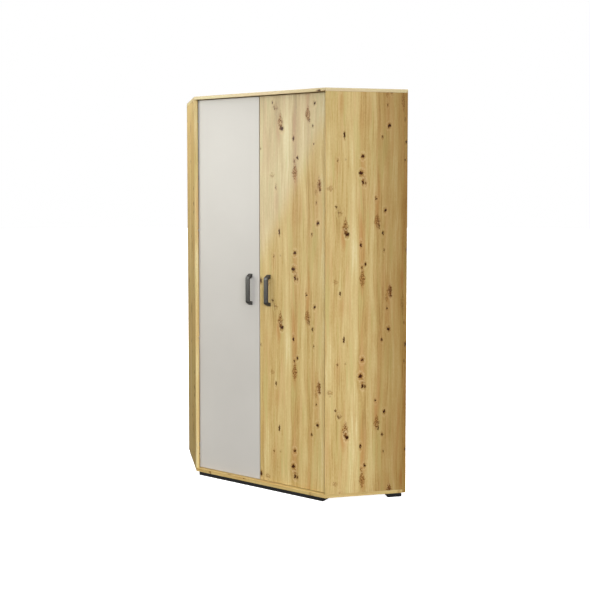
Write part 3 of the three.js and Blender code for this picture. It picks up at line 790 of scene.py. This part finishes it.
def make_handle(side):
    """A bow where the CAD handle is, and as wide."""
    node = f"{side}_handle"
    low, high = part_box(node)
    centre, base = (low + high) / 2, high.y
    half_width = (high.x - low.x) / 2
    work = bmesh.new()
    rims = []
    for x in (centre.x - half_width, centre.x + half_width):
        points = [work.verts.new((x, base - spot.x, centre.z + spot.y)) for spot in handle_outline()]
        rims.append(points)
    count = len(rims[0])
    for i in range(count):
        j = (i + 1) % count
        work.faces.new((rims[0][i], rims[0][j], rims[1][j], rims[1][i]))
    caps = [work.faces.new(rims[0][::-1]), work.faces.new(rims[1])]
    bmesh.ops.recalc_face_normals(work, faces=work.faces)
    edges = list({edge for cap in caps for edge in cap.edges})
    bmesh.ops.bevel(
        work, geom=edges, offset=HANDLE_ROUNDING, segments=ROUNDING_STEPS, profile=ROUND, affect="EDGES",
    )
    mesh = mesh_from(work, node, smooth_below=50)
    add_piece(f"{side}_bow_handle", mesh, graphite, f"{side}_leaf", "graphite_handle", node)


# Screws: low domed heads with a cross recess
HEAD_POINTS = 24
HEAD_SHAPE = ((1.0, 0.0), (0.98, 0.45), (0.86, 0.78), (0.68, 0.95))  # rings: shares of radius and height
CROSS_SHARE = 0.56  # reach of the cross, of the head's radius
CROSS_ARM = math.tan(math.radians(15))  # half an arm's width, of its reach: its corners lie on the points
CROSS_DEPTH = 0.7  # of the head's height
CROSS_TAPER = 0.8  # the cross at the bottom of its recess
TINY = 1e-9  # stands for zero in a division
HEAD_TURN = 37  # radians for each metre up, so that neighbouring crosses stand at odd angles
LARGE_HEAD = (4.0 * MM, 1.3 * MM)  # radius and height
SMALL_HEAD = (3.3 * MM, 1.1 * MM)


def cross_reach(angle):
    """How far a cross of reach 1 goes from its middle at an angle."""
    along, aside = (max(abs(part), TINY) for part in (math.cos(angle), math.sin(angle)))
    return max(min(1 / along, CROSS_ARM / aside), min(CROSS_ARM / along, 1 / aside))


def screw_head(work, seat, out, size):
    """Adds a closed head that sits on a point of a face and points away from it."""
    radius, height = size
    aside = out.orthogonal().normalized()
    upward = out.cross(aside)
    turn = seat.z * HEAD_TURN
    angles = [2 * math.pi * i / HEAD_POINTS for i in range(HEAD_POINTS)]
    ways = [aside * math.cos(angle + turn) + upward * math.sin(angle + turn) for angle in angles]
    cross = [CROSS_SHARE * cross_reach(angle) for angle in angles]
    rings = [([share] * HEAD_POINTS, level) for share, level in HEAD_SHAPE]
    rings += [(cross, 1.0), ([CROSS_TAPER * share for share in cross], 1.0 - CROSS_DEPTH)]
    made = [
        [
            work.verts.new(seat + way * share * radius + out * level * height)
            for way, share in zip(ways, shares)
        ]
        for shares, level in rings
    ]
    centre = work.verts.new(seat + out * (1.0 - CROSS_DEPTH) * height)
    work.faces.new(made[0][::-1])
    for i in range(HEAD_POINTS):
        j = (i + 1) % HEAD_POINTS
        for low, high in zip(made, made[1:]):
            work.faces.new((low[i], low[j], high[j], high[i]))
        work.faces.new((made[-1][i], made[-1][j], centre))


def add_screws(name, body, heads, *nodes):
    """One piece of separate screw heads, each given as its seat, the way it points and its size."""
    work = bmesh.new()
    for seat, out, size in heads:
        screw_head(work, seat, out, size)
    return add_piece(name, mesh_from(work, name, smooth_below=40), zinc, body, "screw_steel", *nodes)


def reach(node, way):
    """Lowest and highest place of a node along a way."""
    places = [spot.dot(way) for spot in points_of(node)]
    return min(places), max(places)


CUP_SCREW_INSET = 6.5 * MM  # from the end of the cup's ear
PLATE_SCREW_SPACING = 32 * MM
PLATE_THICKNESS = 3 * MM
ARM_SCREW_SHARES = (0.28, 0.74)  # of the plate's length


def make_hinge_screws(side, number):
    """Two screws in the cup's ears, two in the plate and two in the arm."""
    cup, arm, plate = (f"{side}_hinge_{part}_{number}" for part in ("cup", "arm", "plate"))
    low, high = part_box(cup)
    centre = (low + high) / 2
    rise_to_ear = (high.z - low.z) / 2 - CUP_SCREW_INSET
    ears = [Vector((centre.x, high.y, centre.z + way * rise_to_ear)) for way in (-1, 1)]
    heads = [(ear, Y, LARGE_HEAD) for ear in ears]
    add_screws(f"{side}_hinge_cup_screws_{number}", f"{side}_leaf", heads)

    into, back = (-LEFT_WAY, -RIGHT_WAY) if side == "left" else (-RIGHT_WAY, -LEFT_WAY)
    plate_face = into * (reach(plate, into)[0] + PLATE_THICKNESS) + Z * centre.z
    start, end = reach(plate, back)
    heads = [
        (plate_face + back * (start + end) / 2 + Z * way * PLATE_SCREW_SPACING / 2, into, LARGE_HEAD)
        for way in (-1, 1)
    ]
    arm_top = max(spot.dot(into) for spot in points_of(arm) if spot.dot(back) > (start + end) / 2)
    for share in ARM_SCREW_SHARES:
        spot = into * arm_top + back * (start + (end - start) * share) + Z * centre.z
        heads.append((spot, into, SMALL_HEAD))
    add_screws(f"{side}_hinge_plate_screws_{number}", "carcass", heads)


HANGER_FLANGE = 2.5 * MM
HANGER_SCREW_INSET = 6 * MM  # from the end of the flange
BRACKET_THICKNESS = 2 * MM
BRACKET_SCREW_SHARE = 0.62  # of the leg's length, from the corner


def make_fixing_screws(side):
    """Screws of a rail hanger and of a wall bracket."""
    low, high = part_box(f"{side}_rail_hanger")
    x, z = (low.x + high.x) / 2, high.z - HANGER_FLANGE
    ends = (low.y + HANGER_SCREW_INSET, high.y - HANGER_SCREW_INSET)
    heads = [(Vector((x, y, z)), -Z, LARGE_HEAD) for y in ends]
    add_screws(f"{side}_rail_hanger_screws", "carcass", heads)

    node = f"{side}_wall_bracket"
    away, along = (RIGHT_WAY, LEFT_WAY) if side == "left" else (LEFT_WAY, RIGHT_WAY)
    wall, far = reach(node, away)
    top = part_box(node)[1].z
    off = (far - wall) * BRACKET_SCREW_SHARE
    middle = along * sum(reach(node, along)) / 2
    heads = [
        (middle + away * (wall + off) + Z * (top - BRACKET_THICKNESS), -Z, LARGE_HEAD),
        (middle + away * (wall + BRACKET_THICKNESS) + Z * (top - off), away, LARGE_HEAD),
    ]
    add_screws(f"{side}_wall_bracket_screws", "carcass", heads)


HANDLE_HEAD_HEIGHT = 2.2 * MM


def make_handle_screw(side, place):
    """A screw from the inside of a door: its head with a cross, and its shank in the handle's foot."""
    node = f"{side}_handle_{place}_screw"
    low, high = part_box(node)
    centre = (low + high) / 2
    seat = Vector((centre.x, high.y - HANDLE_HEAD_HEIGHT, centre.z))
    size = ((high.x - low.x) / 2, HANDLE_HEAD_HEIGHT)
    mesh = add_screws(f"{node}_head", f"{side}_leaf", [(seat, Y, size)], node).data
    shank = [spot for spot in points_of(node) if spot.y < seat.y - MM]
    radius = max(spot.x for spot in shank) - centre.x
    depth = seat.y - low.y
    lying = Matrix.Rotation(math.pi / 2, 4, "X")
    matrix = Matrix.Translation((centre.x, low.y + depth / 2, centre.z)) @ lying
    work = bmesh.new()
    work.from_mesh(mesh)
    bmesh.ops.create_cone(
        work, cap_ends=True, segments=HEAD_POINTS, radius1=radius, radius2=radius, depth=depth, matrix=matrix,
    )
    work.to_mesh(mesh)
    work.free()


# Small pieces whose CAD shape is right: their edges are softened, and they get their finish
HINGE_ROUNDINGS = {"cup": 0.25 * MM, "arm": 0.4 * MM, "plate": 0.4 * MM}
FIXING_ROUNDING = 0.4 * MM
PIN_ROUNDING = 0.3 * MM
MOULDING_ROUNDING = 0.8 * MM
HINGES = range(1, 5)  # on each door
SHELF_PINS = range(1, 7)


def finish_node(node, rounding, surface, slot):
    mesh = softened(node, rounding, smooth_below=35)
    add_piece(f"{node}_finish", mesh, surface, body_of(node), slot, node)


def make_small_pieces():
    for node in ("plinth_bar", "left_rear_foot", "right_rear_foot", "corner_foot"):
        mesh = softened(node, MOULDING_ROUNDING, segments=3, smooth_below=30)
        add_piece(f"{node}_moulding", mesh, black, "carcass", "black_plinth", node)
    for side in ("left", "right"):
        for place in ("lower", "upper"):
            make_handle_screw(side, place)
        make_fixing_screws(side)
        for number in HINGES:
            make_hinge_screws(side, number)
            for part, rounding in HINGE_ROUNDINGS.items():
                finish_node(f"{side}_hinge_{part}_{number}", rounding, nickel, "hinge_steel")
        finish_node(f"{side}_rail_hanger", FIXING_ROUNDING, zinc, "rail_steel")
        finish_node(f"{side}_wall_bracket", FIXING_ROUNDING, zinc, "screw_steel")
    for number in SHELF_PINS:
        finish_node(f"shelf_pin_{number}", PIN_ROUNDING, zinc, "screw_steel")
    mesh = softened("clothes_rail", 0.0, smooth_below=45)
    add_piece("clothes_rail_tube", mesh, chrome, "carcass", "rail_steel", "clothes_rail")


# Camera, fitted to the photograph: place in metres, angles in degrees, lens and sensor in millimetres
CAMERA_PLACE = (2.5679, -4.1101, 1.4812)
CAMERA_DOWN = 2.953
CAMERA_HEADING = 32.844
CAMERA_LENS = 55.573
CAMERA_SENSOR = 36
CAMERA_SHIFT = -0.1


def make_camera():
    data = bpy.data.cameras.new("camera")
    data.lens = CAMERA_LENS
    data.sensor_width = CAMERA_SENSOR
    data.shift_y = CAMERA_SHIFT
    camera = bpy.data.objects.new("camera", data)
    camera.location = CAMERA_PLACE
    camera.rotation_euler = (math.radians(90 - CAMERA_DOWN), 0, math.radians(CAMERA_HEADING))
    scene.collection.objects.link(camera)
    scene.camera = camera


# Light
WHITE = (1.0, 1.0, 1.0)
INNER_COLOUR = (1.0, 0.95, 0.85)
INNER_PLACE = (0.0, 0.0, 0.8)
INNER_SIZE = (0.1, 1.2)

# Soft lights: name, place, the point they face, width and height, radiance, colour, and if they give light
# and if they are mirrored
AREA_LIGHTS = (
    ("front_softbox", (-3.2, -4.1, 2.15), (-0.2, -0.45, 1.6), (1.9, 2.4), 4.7, (1.0, 0.97, 0.85), True, True),
    (
        "sheen_card", (-1.55, -2.09, 1.92), (-0.42, -0.45, 1.76), (1.5, 1.8), 6.4, (0.97, 0.98, 0.93),
        False, True,
    ),
    ("left_softbox", (-1.9, -0.55, 2.6), (-0.5, -0.3, 1.9), (0.8, 0.8), 16, WHITE, True, True),
    ("low_softbox", (0.3, -2.2, 0.3), (0.0, -0.45, 0.4), (2.4, 0.5), 1.9, WHITE, True, True),
    ("inner_fill", INNER_PLACE, (-1.0, 0.1, 0.8), INNER_SIZE, 9, INNER_COLOUR, True, False),
    ("inner_fill", INNER_PLACE, (1.0, 0.1, 0.8), INNER_SIZE, 4, INNER_COLOUR, True, False),
)

# Soft lights from far away: name, the way they come from, strength, width in degrees and colour
SUNS = (
    ("key", (0.60, -0.75, 0.36), 1.29, 50, WHITE),
    ("right", (0.90, -0.50, 0.30), 1.36, 50, (0.98, 1.03, 1.20)),
    ("ceiling", (0, 0, 1), 2.6, 40, WHITE),
    ("rear", (0.0, 1.0, 0.35), 2.3, 50, (1.0, 0.96, 0.92)),
)

# The world's light: its strength level with the wardrobe, and how it changes towards the right, up and down
WORLD_LEVEL = 0.14
WORLD_RIGHT = 0.10
WORLD_UP = 0.08
WORLD_BELOW = 0.5
BELOW_SHARPNESS = 4.0


def add_light(name, kind, energy, colour, way, axis):
    """A light whose axis points along a way."""
    data = bpy.data.lights.new(name, kind)
    data.energy = energy
    data.color = colour
    light = bpy.data.objects.new(name, data)
    light.rotation_euler = Vector(way).to_track_quat(axis, "Y").to_euler()
    scene.collection.objects.link(light)
    return light


def area_light(name, place, target, size, radiance, colour, lights, mirrored):
    """A rectangular soft light that the camera doesn't see; it gives light, is mirrored, or both."""
    way = Vector(target) - Vector(place)
    light = add_light(name, "AREA", radiance * math.pi * size[0] * size[1], colour, way, "-Z")
    light.data.shape = "RECTANGLE"
    light.data.size, light.data.size_y = size
    light.location = place
    light.visible_camera = False
    light.visible_diffuse = lights
    light.visible_glossy = mirrored


def sun(name, way, energy, width, colour):
    """A soft light from far away; it isn't mirrored."""
    light = add_light(name, "SUN", energy, colour, way, "Z")
    light.data.angle = math.radians(width)
    light.visible_glossy = False


def make_world():
    """A white surround for the camera; the light it gives is softer, stronger from the right and above, and
    straight from below, as from a pale floor."""
    world = bpy.data.worlds.new("studio")
    world.use_nodes = True
    tree = world.node_tree
    way = split(tree, add(tree, "ShaderNodeTexCoord").outputs["Generated"])
    light = line(tree, way[0], WORLD_RIGHT, WORLD_LEVEL)
    light = line(tree, way[2], WORLD_UP, light)
    downward = calc(tree, "MAXIMUM", times(tree, way[2], -1.0), 0.0)
    light = line(tree, calc(tree, "POWER", downward, BELOW_SHARPNESS), WORLD_BELOW, light)
    seen = add(tree, "ShaderNodeLightPath").outputs["Is Camera Ray"]
    background = tree.nodes["Background"]
    background.inputs["Color"].default_value = grey(1.0)
    feed(tree, background.inputs["Strength"], calc(tree, "MAXIMUM", seen, light))
    scene.world = world


def make_light():
    make_world()
    for row in AREA_LIGHTS:
        area_light(*row)
    for row in SUNS:
        sun(*row)
    scene.view_settings.view_transform = "Standard"


# Floor: a pale disc that glows, so that it runs into the white surround
FLOOR_RADIUS = 30
FLOOR_POINTS = 96
FLOOR_GREY = 0.9
FLOOR_GLOW = 0.85


def make_floor():
    """The floor, which gives the part no light and isn't mirrored in it."""
    work = bmesh.new()
    bmesh.ops.create_circle(work, cap_ends=True, segments=FLOOR_POINTS, radius=FLOOR_RADIUS)
    mesh = mesh_from(work, "studio_floor")
    floor = bpy.data.objects.new("studio_floor", mesh)
    colour = grey(FLOOR_GREY)
    made, _, shader = material("floor_paint", roughness=0.9, colour=colour, Specular_IOR_Level=0.1)
    shader.inputs["Emission Color"].default_value = grey(1.0)
    shader.inputs["Emission Strength"].default_value = FLOOR_GLOW
    mesh.materials.append(made)
    floor.visible_diffuse = False
    floor.visible_glossy = False
    scene.collection.objects.link(floor)


make_camera()
make_boards()
make_handle("left")
make_handle("right")
make_small_pieces()
make_light()
make_floor()
